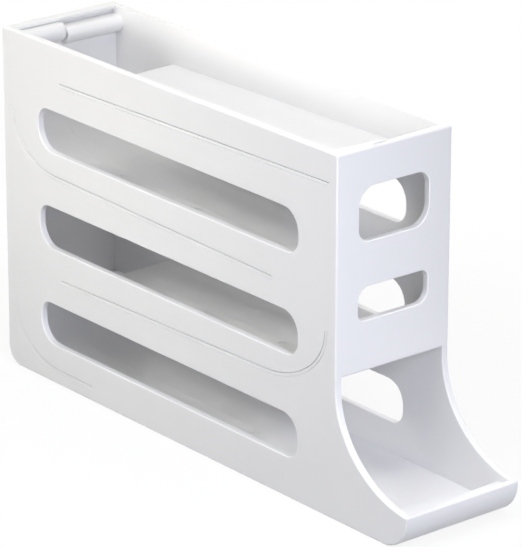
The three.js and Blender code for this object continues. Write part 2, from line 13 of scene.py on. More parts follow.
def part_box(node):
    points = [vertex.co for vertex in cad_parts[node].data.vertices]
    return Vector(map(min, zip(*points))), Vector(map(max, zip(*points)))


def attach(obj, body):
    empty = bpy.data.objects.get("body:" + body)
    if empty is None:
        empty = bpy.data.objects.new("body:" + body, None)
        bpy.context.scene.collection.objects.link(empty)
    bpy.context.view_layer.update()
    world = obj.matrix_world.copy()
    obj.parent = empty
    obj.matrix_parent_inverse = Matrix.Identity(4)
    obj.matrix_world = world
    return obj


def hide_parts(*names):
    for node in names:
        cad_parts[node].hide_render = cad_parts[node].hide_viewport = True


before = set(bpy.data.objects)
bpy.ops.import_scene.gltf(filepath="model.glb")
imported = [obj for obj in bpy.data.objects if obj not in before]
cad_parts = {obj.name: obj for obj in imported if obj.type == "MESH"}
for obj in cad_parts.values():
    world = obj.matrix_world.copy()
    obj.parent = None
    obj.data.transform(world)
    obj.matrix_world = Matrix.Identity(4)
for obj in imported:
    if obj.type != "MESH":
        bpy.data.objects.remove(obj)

bl_info = {
    "name": "Rolling Egg Dispenser",
    "version": (1, 0, 0),
    "blender": (4, 5, 0),
    "location": "View3D > Sidebar > Dispenser",
    "description": "Builds the mouldings, ramps and studio of a rolling egg dispenser",
    "category": "Mesh",
}

SIDES = {"left": -1, "right": 1}

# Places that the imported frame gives. X is the width, Y runs to the rear and Z up.
WALL_LOW, WALL_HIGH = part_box("side_wall_left")
PANEL_LOW, PANEL_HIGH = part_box("front_panel")
FENCE_HIGH, REAR_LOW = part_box("outlet_fence")[1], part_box("rear_panel")[0]
OUTER_X, INNER_X = -WALL_LOW.x, -WALL_HIGH.x
WALL = OUTER_X - INNER_X
TIP_Y, REAR_Y, TOP_Z = WALL_LOW.y, WALL_HIGH.y, WALL_HIGH.z
FRONT_Y, FRONT_INNER_Y, PANEL_FOOT_Z = PANEL_LOW.y, PANEL_HIGH.y, PANEL_LOW.z
REAR_INNER_Y, FENCE_INNER_Y, LIP_Z = REAR_Y - WALL, TIP_Y + WALL, FENCE_HIGH.z
MIDDLE_Y = (FRONT_Y + REAR_Y) / 2

# Fineness of the meshes, and the distance up to which two points count as one.
ARC_STEP = radians(5)
LONGEST_EDGE, DOUBLE, HAIR, NO_LENGTH = 0.004, 1e-6, 1e-5, 1e-12
ROUND_STEPS, TURN_STEPS, END_STEPS, CAP_STEPS = 4, 40, 10, 12
SCOOP_STEPS, HEAD_STEPS, NOSE_STEPS, SOFT_STEPS = 60, 8, 9, 3
FILLET_POINTS, STUD_SIDES = 4, 32
SMOOTH_LIMIT = radians(38)


def number(name, description, default, **kind):
    """A number from 0 up. kind holds its unit, its subtype or the most it may be."""
    return FloatProperty(name=name, description=description, default=default, min=0.0, **kind)


length = partial(number, unit="LENGTH", subtype="DISTANCE", precision=5)
power = partial(number, unit="POWER")
share = partial(number, subtype="FACTOR", max=1.0)


def angle(name, description, default):
    """An angle, given in degrees."""
    return number(name, description, radians(default), subtype="ANGLE")


def colour(name, description, default):
    """A colour without alpha."""
    return FloatVectorProperty(
        name=name, description=description, default=default, subtype="COLOR", min=0.0, max=1.0,
    )


class ShellSettings(bpy.types.PropertyGroup):
    """Sizes of the side walls, the panels and the fence."""

    edge_round: length("Edge round", "Radius of the outer edges", 0.0012)
    inner_round: length("Inner round", "Radius of the free inner edges", 0.0006)
    window_round: length("Window round", "Radius of the outer edges of the windows", 0.0007)
    corner_round: length("Corner round", "Radius of the corners of the outline", 0.0015)
    lip_round: length("Lip round", "Radius of the upper corner at the tip", 0.0010)
    nose_radius: length("Nose radius", "Lower corner under the outlet", 0.020)
    heel_radius: length("Heel radius", "Lower corner at the rear", 0.012)
    scoop_top: length("Scoop top", "Height at which the scoop leaves the front face", 0.081)
    scoop_reach: length("Scoop reach", "Half axis of the scoop's ellipse along Y", 0.0692)
    window_front: length("Window front margin", "From the front face to a side window", 0.0336)
    window_rear: length("Window rear margin", "From a side window to the rear face", 0.0357)
    window_height: length("Window height", "Height of a side window", 0.0268)
    window_rise: length("Window rise", "From the lap of a ramp to its side window", 0.0190)
    front_width: length("Front window width", "Width of the windows in the front", 0.052)
    upper_rise: length("Upper front rise", "From the lap of ramp 2 to the window", 0.0323)
    upper_height: length("Upper front height", "Height of the upper front window", 0.0324)
    lower_rise: length("Lower front rise", "From the lap of ramp 3 to the window", 0.0473)
    lower_height: length("Lower front height", "Height of the lower front window", 0.020)
    groove_width: length("Groove width", "Width of the grooves along the ramps", 0.00275)
    groove_top: length("Groove top", "From the middle of a skin to the upper edge", 0.0013)
    groove_channel: length("Groove channel", "Depth of the channel in a groove", 0.0014)
    groove_bed: length("Groove bed", "Depth of the bed below the channel", 0.00003)
    groove_line: length("Groove line", "Depth of the fine line along the bed", 0.0007)
    groove_lead: length("Groove lead", "From the free end of a ramp to its groove", 0.006)
    groove_inset: length("Groove inset", "From the front panel to the top groove", 0.003)
    groove_low: length("Low groove", "Length of the straight part of the lowest groove", 0.0815)
    rim_depth: length("Rear rim depth", "How far the rear rim is turned in", 0.0038)
    rim_skin: length("Rear rim skin", "Thickness of the rear rim", 0.0022)
    foot_skin: length("Rear foot skin", "Thickness of the foot of the rear panel", 0.003)


class RampSettings(bpy.types.PropertyGroup):
    """Sizes of the half-width skins that make up the ramps."""

    skin: length("Skin", "Thickness of a skin at mid-width", 0.0025)
    draft: length("Draft", "How much thicker a skin is at its side wall", 0.0012)
    gap: length("Gap", "Clearance between two mouldings", 0.0003)
    lap: length("Lap", "Width on which the left skin covers the right one", 0.010)
    lap_offset: length("Lap offset", "From mid-width to the edge of the left skins", 0.0045)
    entry_seat: length("Entry seat", "From the front panel to the lap of the top ramp", 0.0006)
    root: length("Root", "Depth to which a skin stands in its side wall", 0.0012)
    edge: length("Skin edge", "Radius of the edges of a skin", 0.0007)
    slope: angle("Slope", "Fall of the covered ramps", 1.2)
    outlet_slope: angle("Outlet slope", "Fall of the lowest ramp", 0.6)
    drop: length("Drop", "Gap at a free end, over the next ramp", 0.059)
    end_radius: length("End radius", "Bend at the free end of a ramp", 0.006)
    end_bend: angle("End bend", "How far a free end bends down", 40)
    stud: length("Stud", "Diameter of a stud", 0.004)
    stud_count: IntProperty(
        name="Studs", description="Studs through the lap of one ramp", default=3, min=2,
    )
    stud_share: share("First stud", "Place of the first stud along the straight stretch", 0.12)


class FinishSettings(bpy.types.PropertyGroup):
    """Colours and surface of the white plastic, and the painted highlight on the window edges."""

    shell: colour("Shell", "Side walls, panels and fence", (0.86, 0.858, 0.863))
    inside: colour("Inside", "Ramps", (0.85, 0.85, 0.857))
    grain: length("Grain", "Size of the fine grain of the mould", 0.0006)
    ripple: length("Ripple", "Size of the slow waviness of the plastic", 0.018)
    # Painted highlight: a lighter colour painted along the round edges of the windows, standing in
    # for the light they catch.
    edge: colour("Window edge", "Light that the round edges of the windows catch", (1.0, 1.0, 1.0))


class StudioSettings(bpy.types.PropertyGroup):
    """Floor, light and camera."""

    floor: colour("Floor", "Pale floor, as its light falls on the dispenser", (0.35, 0.35, 0.353))
    seen_floor: colour("Seen floor", "Pale floor, as the camera sees it", (0.95, 0.95, 0.95))
    glow: share("Floor glow", "How much of the floor near the dispenser is plain white", 0.85)
    near: length("Fade start", "Where the floor starts to turn plain white", 0.2)
    far: length("Fade end", "Where the floor is plain white", 0.45)
    side: power("Side", "Soft lamp high on the left", 3.66)
    top: power("Top", "Large soft lamp overhead", 4.3)
    right: power("Right", "Soft lamp behind on the right", 3.2)
    corner: power("Corner", "Small lamp close to the outlet", 0.60)
    side_grid: power("Side grid", "Narrow lamp on the upper part of the side wall", 0.185)
    rear_grid: power("Rear grid", "Narrow lamp on the rear end of the side wall", 0.102)
    front_grid: power("Front grid", "Narrow lamp past the left edge of the front face", 0.615)
    fence_grid: power("Fence grid", "Narrow low lamp on the fence of the outlet", 0.0054)
    outlet_grid: power("Outlet grid", "Narrow lamp above the outlet", 0.009)
    white: colour("White", "Colour of most lamps", (1.0, 0.982, 0.92))
    cool: colour("Cool", "Colour of the lamps before the front", (0.837, 0.866, 1.0))
    sky: number("Sky", "Strength of the even light from all round", 0.46)


# Paths and outlines, drawn in Y and Z or in X and Z.


def ellipse(centre, reach, rise, start, end, steps):
    """Points between two angles on an ellipse with its half axes along and across."""
    turns = (start + (end - start) * i / steps for i in range(steps + 1))
    return [
        Vector((centre[0] + reach * cos(turn), centre[1] + rise * sin(turn)))
        for turn in turns
    ]


def arc(centre, radius, start, end, squash=1.0):
    """Points on an arc between two angles in degrees; squash scales its height."""
    start, end = radians(start), radians(end)
    steps = max(3, round(abs(end - start) / ARC_STEP))
    return ellipse(centre, radius, radius * squash, start, end, steps)


def divided(points):
    """A closed outline whose straight edges are cut into short ones."""
    result = []
    for here, there in zip(points, points[1:] + points[:1]):
        parts = max(1, ceil((there - here).length / LONGEST_EDGE))
        result += [here.lerp(there, i / parts) for i in range(parts)]
    return result


def without_doubles(points):
    """An outline or a path without points that repeat the one before."""
    pairs = zip(points, points[-1:] + points[:-1])
    return [point for point, before in pairs if (point - before).length > DOUBLE]


def outward(points):
    """The outward normals of a closed outline that runs anticlockwise."""
    normals = []
    for before, here, after in zip(points[-1:] + points[:-1], points, points[1:] + points[:1]):
        first, second = (here - before).normalized(), (after - here).normalized()
        along = (first + second).normalized()
        normals.append(Vector((along.y, -along.x)))
    return normals


def offset_path(path, distance):
    """An open path moved sideways, to the left of its direction."""
    moved = []
    for i, point in enumerate(path):
        along = (path[min(i + 1, len(path) - 1)] - path[max(i - 1, 0)]).normalized()
        moved.append(point + Vector((-along.y, along.x)) * distance)
    return moved


def rounded_rectangle(left, foot, right, top, rounds):
    """A rectangle with its own radius at each corner, anticlockwise from the foot."""
    left_top, right_top, right_foot, left_foot = rounds
    return divided(
        arc((right - right_foot, foot + right_foot), right_foot, -90, 0)
        + arc((right - right_top, top - right_top), right_top, 0, 90)
        + arc((left + left_top, top - left_top), left_top, 90, 180)
        + arc((left + left_foot, foot + left_foot), left_foot, 180, 270)
    )


# Ramps, from the top down: 1 falls to the rear and -1 to the front.

FALLS = {"ramp_1": 1, "ramp_2": -1, "ramp_3": 1, "ramp_4": -1}

# How far each turn reaches along the ramp and how far it rises.
TURNS = {
    ("ramp_1", "front"): (0.009, 0.009),
    ("ramp_2", "rear"): (0.0468, 0.0364),
    ("ramp_3", "front"): (0.0575, 0.0409),
    ("ramp_4", "front"): (0.0165, 0.0126),
    ("ramp_4", "rear"): (0.0468, 0.0364),
}
WALL_FACES = {"front": FRONT_INNER_Y, "rear": REAR_INNER_Y}
TOWARD = {"front": -1, "rear": 1}


# Heads: the rounded upper ends of skins. The depth is measured from the wall behind at the end
# beside the lap, and grows by the flare towards the side wall.
Head = namedtuple("Head", "end drops depth height round flare end_round")
HEADS = {
    "ramp_1": Head("front", False, 0.00325, 0.004, 0.0012, 0.0019, 0.0012),
    "ramp_2": Head("rear", True, 0.012, 0.012, 0.005, 0.0, 0.003),
    "ramp_4": Head("front", True, 0.00755, 0.004, 0.0016, 0.0019, 0.003),
}


class Ramp:
    """The lap surface of one ramp, on which its left skin lies over its right one."""

    def __init__(self, name, settings):
        self.name, self.settings = name, settings
        self.fall = FALLS[name] * tan(
            settings.outlet_slope if name == "ramp_4" else settings.slope
        )
        self.layer = settings.skin + settings.gap
        self.level = 0.0
        underside = offset_path(self.path("left"), self.base("left"))
        self.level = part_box(f"{name}_left")[0].z - min(z for _, z in underside)

    def base(self, side):
        """Distance from the lap surface to the underside of a skin."""
        return self.settings.gap / 2 - (0 if side == "left" else self.layer)

    def lap(self, y):
        """Height of the straight lap surface."""
        return self.level + self.fall * (MIDDLE_Y - y)

    def inner(self, end):
        """The inner face of the wall at an end."""
        return FENCE_INNER_Y if (self.name, end) == ("ramp_4", "front") else WALL_FACES[end]

    def upright(self, end):
        """Where the lap surface stands upright before a wall."""
        settings = self.settings
        seat = settings.entry_seat if self.name == "ramp_1" else settings.gap / 2 + self.layer
        return self.inner(end) - TOWARD[end] * seat

    def turn(self, end):
        """The lap surface through a turn, from the straight stretch upwards."""
        reach, rise = TURNS[self.name, end]
        toward = TOWARD[end]
        start = atan(-toward * self.fall * reach / rise)
        middle = self.upright(end) - toward * reach
        height = self.lap(middle + toward * reach * sin(start)) + rise * cos(start)
        centre = middle, height
        return ellipse(centre, toward * reach, rise, start - pi / 2, 0, TURN_STEPS)

    def free_y(self, end):
        """Where the ramp stops beside the drop."""
        return WALL_FACES[end] - TOWARD[end] * self.settings.drop

    def free_end(self, end):
        """The lap surface bent down at a free end."""
        radius, bend, toward = self.settings.end_radius, self.settings.end_bend, TOWARD[end]
        start = self.free_y(end) - toward * radius * sin(bend)
        centre = start, self.lap(start) - radius
        upright = pi / 2
        return ellipse(centre, toward * radius, radius, upright, upright - bend, END_STEPS)

    def head_top(self, side):
        """The top of the head of a skin."""
        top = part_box(f"{self.name}_left")[1].z
        if self.name == "ramp_4":
            top = LIP_Z - self.settings.gap
        return top - (self.layer if side == "right" and HEADS[self.name].drops else 0)

    def end_points(self, end, side):
        """One end of the lap surface, from the straight stretch outwards."""
        if (self.name, end) not in TURNS:
            return self.free_end(end)
        points = self.turn(end)
        head = HEADS.get(self.name)
        if head and head.end == end:
            under = head.height / 2 if side == "left" else head.height + self.settings.gap
            points.append(Vector((self.upright(end), self.head_top("left") - under)))
        return points

    def path(self, side):
        """The whole lap surface under or over a skin, from the front to the rear."""
        return self.end_points("front", side)[::-1] + self.end_points("rear", side)

    def straight(self):
        """The two ends of the straight stretch."""
        for end, toward in TOWARD.items():
            turn = TURNS.get((self.name, end))
            edge = self.upright(end) if turn else self.free_y(end)
            yield edge - toward * (turn[0] if turn else self.settings.end_radius)


# Closed bodies made of rows of points.


class Moulding:
    """A closed body. Its flat faces keep their exact normals for the shading."""

    def __init__(self):
        self.mesh = bmesh.new()
        self.flat = self.mesh.faces.layers.int.new("flat")
        # A UV layer that holds the mask of the painted highlight on the window edges.
        self.edge = self.mesh.loops.layers.uv.new("Edge")
        self.normals = [None]

    def row(self, points):
        """New points, in order round the body."""
        return [self.mesh.verts.new(point) for point in points]

    def strip(self, first, second, turns=(0.0, 0.0)):
        """Faces between two closed rows of the same length. turns says how far round the edge of
        a window each row lies, from 0 on the face to 1 in the opening."""
        for i in range(len(first)):
            j = (i + 1) % len(first)
            face = self.mesh.faces.new((first[i], first[j], second[j], second[i]))
            for corner, turn in zip(face.loops, (turns[0], turns[0], turns[1], turns[1])):
                corner[self.edge].uv = (turn, 0)

    def strips(self, rows):
        """Faces between each row and the next."""
        for pair in zip(rows, rows[1:]):
            self.strip(*pair)

    def fill(self, rows, normal):
        """A flat face within the first row, with the other rows as its holes."""
        edges = []
        for row in rows:
            for pair in zip(row, row[1:] + row[:1]):
                edges.append(self.mesh.edges.get(pair) or self.mesh.edges.new(pair))
        made = bmesh.ops.triangle_fill(
            self.mesh, edges=edges, use_beauty=True, normal=Vector(normal),
        )
        self.normals.append(Vector(normal))
        for face in (item for item in made["geom"] if isinstance(item, bmesh.types.BMFace)):
            face[self.flat] = len(self.normals) - 1

    def finish(self, name, material):
        """The body as an object with smooth edges."""
        data = bpy.data.meshes.new(name)
        write_closed(self.mesh, data)
        shade(data, self.normals)
        return linked(name, data, material)


def write_closed(mesh, data):
    """Writes a mesh with its doubles merged and its faces outwards to mesh data."""
    bmesh.ops.remove_doubles(mesh, verts=mesh.verts, dist=DOUBLE)
    bmesh.ops.recalc_face_normals(mesh, faces=mesh.faces)
    mesh.to_mesh(data)
    mesh.free()


def placed(name, data):
    """A new object of the scene."""
    piece = bpy.data.objects.new(name, data)
    bpy.context.scene.collection.objects.link(piece)
    return piece


def linked(name, data, material):
    """A new object of the scene with its material."""
    data.materials.clear()
    data.materials.append(material)
    return placed(name, data)


def shade(data, flat_normals=(None,)):
    """Smooth shading in which flat faces stay flat and their round edges run into them."""
    kinds = data.attributes.get("flat")
    kind = [0] * len(data.polygons)
    if kinds:
        kinds.data.foreach_get("value", kind)
        data.attributes.remove(data.attributes["flat"])
    normals = [flat_normals[k] or p.normal.copy() for k, p in zip(kind, data.polygons)]
    around = [[] for _ in data.vertices]
    for polygon in data.polygons:
        for vertex in polygon.vertices:
            around[vertex].append(polygon.index)
    corners = []
    for polygon in data.polygons:
        own = normals[polygon.index]
        for vertex in polygon.vertices:
            near = [n for n in around[vertex] if normals[n].dot(own) > cos(SMOOTH_LIMIT)]
            plane = [normals[n] for n in near if kind[n]]
            mean = sum((normals[n] * data.polygons[n].area for n in near), Vector((0, 0, 0)))
            smooth = mean.normalized() if mean.length > NO_LENGTH else own
            corners.append(own if kind[polygon.index] else (plane or [smooth])[0])
    data.polygons.foreach_set("use_smooth", [True] * len(data.polygons))
    data.normals_split_custom_set(corners)


# Sines and cosines of the steps round an edge.
QUARTER = [
    (sin(turn), cos(turn))
    for turn in (pi / 2 * i / ROUND_STEPS for i in range(ROUND_STEPS + 1))
]


def plate(body, loops, place, grooves=()):
    """A plate with rounded edges. Each loop lists its points with their normals, their outer and
    inner radii and the depth of the inner edge. The first one is the outline, the others are
    windows. place puts a point at a depth. The inner rows come back, with the inner face open."""
    outer_rows, inner_rows = [], []
    for index, loop in enumerate(loops):
        rows = [
            body.row(
                place(point - normal * outer * (1 - sine), outer * (1 - cosine))
                for point, normal, outer, _, _ in loop
            )
            for sine, cosine in QUARTER
        ]
        rows += [
            body.row(
                place(point - normal * inner * (1 - cosine), deep - inner * (1 - sine))
                for point, normal, _, inner, deep in loop
            )
            for sine, cosine in QUARTER
        ]
        # The turns across a window's outer round are the mask of the painted highlight on the
        # window edges.
        for i, pair in enumerate(zip(rows, rows[1:])):
            turns = i / ROUND_STEPS, (i + 1) / ROUND_STEPS
            body.strip(*pair, turns if index and i < ROUND_STEPS else (0, 0))
        outer_rows.append(rows[0])
        inner_rows.append(rows[-1])
    facing = place(Vector((0, 0)), 0) - place(Vector((0, 0)), 1)
    body.fill(outer_rows + [rows[0] for rows in grooves], facing)
    return inner_rows, -facing


# The section of a groove, from its edges inwards. Both edges are shares of the width, measured from
# the upper one. The depth along the upper edge is a share of the channel's, and the depth along the
# lower edge is a share of the depth that is named.
GROOVE_SECTION = (
    (-0.01, 1.0, 0.0, "line", 0.0), (0.0, 0.89, 0.07, "line", 0.35),
    (0.001, 0.88, 0.15, "line", 1.0), (0.002, 0.81, 0.2, "line", 1.0),
    (0.003, 0.8, 0.3, "bed", 1.0), (0.004, 0.31, 0.4, "bed", 1.0),
    (0.005, 0.22, 0.6, "channel", 0.14), (0.01, 0.21, 1.0, "channel", 1.0),
)


def groove_rows(body, path, settings, place):
    """A groove along a path, as rows from its edges inwards: a narrow deep channel on its upper
    side, a shallow bed beside it and a fine line along the lower edge."""
    top, width = settings.groove_top, settings.groove_width
    rows = []
    for upper, lower, high_share, name, low_share in GROOVE_SECTION:
        above, below = top - width * upper, width * lower - top
        high = settings.groove_channel * high_share
        low = getattr(settings, f"groove_{name}") * low_share
        middle, radius = offset_path(path, (above - below) / 2), (above + below) / 2
        left, right = offset_path(middle, radius), offset_path(middle, -radius)
        ends = cap(middle[-1], middle[-2], radius), cap(middle[0], middle[1], radius)
        blend = [low + (high - low) * (i + 1) / CAP_STEPS for i in range(CAP_STEPS - 1)]
        outline = right + ends[0] + left[::-1] + ends[1]
        depths = [low] * len(right) + blend + [high] * len(left) + blend[::-1]
        rows.append(body.row(place(p, depth) for p, depth in zip(outline, depths)))
    body.strips(rows)
    body.fill([rows[-1]], place(Vector((0, 0)), 0) - place(Vector((0, 0)), 1))
    return rows


def cap(end, inside, radius):
    """The round end of a groove, between its two long edges."""
    along = end - inside
    start = atan2(along.y, along.x) - pi / 2
    return ellipse(end, radius, radius, start, start + pi, CAP_STEPS)[1:-1]


# Outlines of the shell.


def scoop_height(y, shell):
    """Height of the scoop's edge."""
    sine = lambda span: sin(acos(1 - span / shell.scoop_reach))
    rise = (shell.scoop_top - LIP_Z) / sine(FRONT_Y - TIP_Y)
    return shell.scoop_top - rise * sine(FRONT_Y - y)


def side_outline(shell):
    """The outline of a side wall in Y and Z, anticlockwise."""
    corner, heel = shell.corner_round, shell.heel_radius
    nose, lip = shell.nose_radius, shell.lip_round
    near_tip = TIP_Y + lip
    rise = scoop_height(near_tip + HAIR, shell) - scoop_height(near_tip, shell)
    slope = atan(rise / HAIR)
    join_y = near_tip - lip * sin(slope)
    lip_centre = (near_tip, scoop_height(join_y, shell) - lip * cos(slope))
    reach = acos(1 - (FRONT_Y - join_y) / shell.scoop_reach)
    scoop = []
    for i in range(SCOOP_STEPS):
        y = FRONT_Y - shell.scoop_reach * (1 - cos(reach * i / SCOOP_STEPS))
        scoop.append(Vector((y, scoop_height(y, shell))))
    return divided(without_doubles(
        arc((REAR_Y - heel, heel), heel, -90, 0)
        + arc((REAR_Y - corner, TOP_Z - corner), corner, 0, 90)
        + arc((FRONT_Y + corner, TOP_Z - corner), corner, 90, 180)
        + scoop
        + arc(lip_centre, lip, 90 + degrees(slope), 180)
        + arc((TIP_Y + nose, nose), nose, 180, 270)
    ))


def butted(point, shell):
    """Whether a panel or the fence closes on the inner edge of a side wall here."""
    y, z = point
    front = y < FRONT_INNER_Y and z > PANEL_FOOT_Z
    rear = y > REAR_INNER_Y - shell.rim_depth or (y > REAR_LOW.y and z < shell.foot_skin)
    fence = y < FENCE_HIGH.y and z < LIP_Z
    return front or rear or fence


def window_loop(points, shell):
    """The loop of a window, clockwise, so that its normals point into the opening."""
    points = points[::-1]
    return [
        (point, normal, shell.window_round, shell.inner_round, WALL)
        for point, normal in zip(points, outward(points))
    ]


# Radii of the windows at the left top, right top, right foot and left foot.
SIDE_WINDOW_ROUNDS = (0.0135, 0.009, 0.0145, 0.010)
FRONT_WINDOW_ROUNDS = (0.012, 0.0085, 0.012, 0.008), (0.008, 0.0055, 0.008, 0.0045)


def side_window(ramp, shell):
    """The window over a ramp."""
    foot = ramp.level + shell.window_rise
    return rounded_rectangle(
        FRONT_Y + shell.window_front, foot, REAR_Y - shell.window_rear,
        foot + shell.window_height, SIDE_WINDOW_ROUNDS,
    )


def groove_path(ramp, side, shell):
    """The middle line of the groove outside along a skin."""
    at = lambda y: Vector((y, ramp.lap(y)))
    starts = {
        "ramp_1": FRONT_INNER_Y + shell.groove_inset, "ramp_4": REAR_INNER_Y - shell.groove_low,
        "ramp_2": ramp.free_y("front") - shell.groove_lead,
    }
    front = [at(starts[ramp.name])] if ramp.name in starts else ramp.turn("front")[::-1]
    if ramp.fall > 0:
        points = front + [at(ramp.free_y("rear") + shell.groove_lead)]
    else:
        points = front + ramp.turn("rear")
    return offset_path(points, ramp.base(side) + ramp.settings.skin / 2)


def side_wall(side, shell, ramps, material):
    """A side wall with its windows, rounded edges and grooves."""
    sign = SIDES[side]
    place = lambda p, depth: Vector((sign * (OUTER_X - depth), p.x, p.y))
    body = Moulding()
    outline = side_outline(shell)
    loops = [[
        (point, normal, shell.edge_round, 0 if butted(point, shell) else shell.inner_round, WALL)
        for point, normal in zip(outline, outward(outline))
    ]]
    loops += [window_loop(side_window(ramp, shell), shell) for ramp in ramps[1:]]
    grooves = [groove_rows(body, groove_path(ramp, side, shell), shell, place) for ramp in ramps]
    body.fill(*plate(body, loops, place, grooves))
    return body.finish(f"side_wall_{side}_moulding", material)


def front_panel(shell, ramps, material):
    """The front panel with its two windows, and the rebate behind the top ramp's right skin."""
    settings, half = ramps[0].settings, INNER_X
    deep = FRONT_INNER_Y - FRONT_Y
    shallow = deep - settings.gap / 2 - ramps[0].layer + settings.entry_seat
    step_x = -settings.lap_offset - settings.lap - settings.gap
    step_z = ramps[0].lap(FRONT_INNER_Y) + settings.gap
    corners = (
        (half, PANEL_FOOT_Z), (half, step_z), (half, step_z + HAIR), (half, TOP_Z),
        (step_x + HAIR, TOP_Z), (step_x, TOP_Z), (-half, TOP_Z), (-half, PANEL_FOOT_Z),
    )
    loop = []
    for x, z in divided([Vector(corner) for corner in corners]):
        # 1 on the upper edge, -1 on the lower one and 0 at the side walls.
        upright = (z > TOP_Z - HAIR / 2) - (z < PANEL_FOOT_Z + HAIR / 2)
        normal = Vector((0, upright) if upright else (copysign(1, x), 0))
        rebated = x > step_x + HAIR / 2 and z > step_z + HAIR / 2
        loop.append((
            Vector((x, z)), normal, abs(upright) * shell.corner_round,
            abs(upright) * shell.inner_round, shallow if rebated else deep,
        ))
    loops = [loop]
    openings = (shell.upper_rise, shell.upper_height), (shell.lower_rise, shell.lower_height)
    for ramp, (rise, height), rounds in zip(ramps[1:], openings, FRONT_WINDOW_ROUNDS):
        foot, wide = ramp.level + rise, shell.front_width / 2
        window = rounded_rectangle(-wide, foot, wide, foot + height, rounds)
        loops.append(window_loop(window, shell))
    place = lambda p, depth: Vector((p.x, FRONT_Y + depth, p.y))
    body = Moulding()
    (edge, *openings), facing = plate(body, loops, place)
    low_side = [v for v, item in zip(edge, loop) if item[4] == deep]
    pairs = enumerate(zip(low_side, low_side[1:]))
    turn = next(i for i, (a, b) in pairs if b.co.x < a.co.x - half / 2)
    step = body.row([place(Vector((step_x, step_z)), deep)])
    rebate = [v for v, item in zip(edge, loop) if item[4] == shallow]
    floor_corner = body.row([place(Vector((step_x + HAIR, step_z + HAIR)), shallow)])
    body.fill([low_side[:turn + 1] + step + low_side[turn + 1:], *openings], facing)
    body.fill([rebate + floor_corner], facing)
    body.mesh.faces.new((low_side[turn], step[0], floor_corner[0], rebate[0]))
    body.mesh.faces.new((step[0], low_side[turn + 1], rebate[-1], floor_corner[0]))
    return body.finish("front_panel_moulding", material)


def extruded(name, outline, material):
    """An outline in Y and Z, carried straight across between the side walls."""
    body = Moulding()
    outline = divided(without_doubles(outline))
    rows = [body.row(Vector((x, p.x, p.y)) for p in outline) for x in (-INNER_X, INNER_X)]
    body.strips(rows)
    body.fill(rows[:1], (-1, 0, 0))
    body.fill(rows[1:], (1, 0, 0))
    return body.finish(name, material)


def rear_panel(shell, material):
    """The rear panel with its rim and foot turned in."""
    rim, skin, foot = shell.rim_depth, shell.rim_skin, shell.foot_skin
    corner, heel, small = shell.corner_round, shell.heel_radius, shell.inner_round
    rim_y = REAR_INNER_Y - rim
    heel_centre = REAR_Y - heel, heel
    squash = (heel - foot) / (heel - WALL)
    outline = (
        arc(heel_centre, heel, -90, 0)
        + arc((REAR_Y - corner, TOP_Z - corner), corner, 0, 90)
        + arc((rim_y + small, TOP_Z - small), small, 90, 180)
        + arc((rim_y + small, TOP_Z - skin + small), small, 180, 270)
        + [Vector((REAR_INNER_Y, TOP_Z - skin))]
        + arc(heel_centre, heel - WALL, 0, -90, squash)
        + [Vector((REAR_LOW.y, foot)), Vector((REAR_LOW.y, 0))]
    )
    return extruded("rear_panel_moulding", outline, material)


def outlet_fence(shell, ramp, material):
    """The fence of the outlet. Inside it follows the turned-up end of the lowest ramp."""
    nose, lip, small = shell.nose_radius, shell.lip_round, shell.inner_round
    seat = ramp.layer + ramp.settings.gap / 2
    inner = offset_path(ramp.turn("front")[::-1], -seat)
    outline = (
        arc((FENCE_INNER_Y - small, LIP_Z - small), small, 0, 90)
        + arc((TIP_Y + lip, LIP_Z - lip), lip, 90, 180)
        + arc((TIP_Y + nose, nose), nose, 180, 270)
        + [Vector((inner[-1].x, 0))]
        + inner[::-1]
    )
    return extruded("outlet_fence_moulding", outline, material)


def head_outline(ramp, side, share_out, retreat, inset):
    """The section of a head. share_out tells how far out it lies, from the lap to the side wall.
    retreat draws its nose back, inset shrinks it all round."""
    head, soft, turned = HEADS[ramp.name], ramp.settings.edge, pi / 2
    toward, inner, upright = TOWARD[head.end], ramp.inner(head.end), ramp.upright(head.end)
    behind = ramp.layer if side == "right" else 0
    drop = behind if head.drops else 0
    top = ramp.head_top(side) - inset
    foot = ramp.head_top("left") - head.height - behind + inset
    back = inner - toward * ramp.settings.gap
    if side == "right":
        back = upright - toward * ramp.base(side)
    depth = head.depth - (behind - drop) + head.flare * share_out - retreat - inset
    nose = inner - toward * depth
    face = upright - toward * (ramp.base(side) + ramp.settings.skin / 2)
    shoulder = top - head.round
    centre = nose + toward * head.round, shoulder
    return (
        [Vector((back, foot))]
        + ellipse((back - toward * soft, top - soft), toward * soft, soft, 0, turned, SOFT_STEPS)
        + ellipse(centre, -toward * head.round, head.round, turned, 0, NOSE_STEPS)
        + ellipse((face, shoulder), nose - face, shoulder - foot, 0, -turned, NOSE_STEPS)[1:]
    )


def drawn_back(radius, distance):
    """How far a round edge is drawn back at a distance from its end."""
    return radius - sqrt(max(radius ** 2 - max(radius - distance, 0) ** 2, 0))


def head_body(ramp, side, material):
    """A head. The left one has a round end beside the lap, and both have soft edges there."""
    settings, sign, left = ramp.settings, SIDES[side], side == "left"
    edge = settings.edge
    plan = HEADS[ramp.name].end_round if left else edge
    start = -settings.lap_offset + (0 if left else settings.gap)
    width = abs(sign * INNER_X - start)
    turns = [pi / 2 * i / HEAD_STEPS for i in range(HEAD_STEPS + 1)]
    stations = {plan} | {r * (1 - cos(turn)) for turn in turns for r in (plan, edge)}
    body = Moulding()
    rows = []
    for out in sorted(stations) + [width]:
        retreat = drawn_back(plan, out) if left else 0
        outline = head_outline(ramp, side, out / width, retreat, drawn_back(edge, out))
        rows.append(body.row(Vector((start + sign * out, p.x, p.y)) for p in outline))
    body.strips(rows)
    body.fill(rows[:1], (-sign, 0, 0))
    body.fill(rows[-1:], (sign, 0, 0))
    return body.finish(f"{ramp.name}_{side}_head", material)


# The tree that sweeps a skin along its ramp, joins its head and adds or bores its studs.

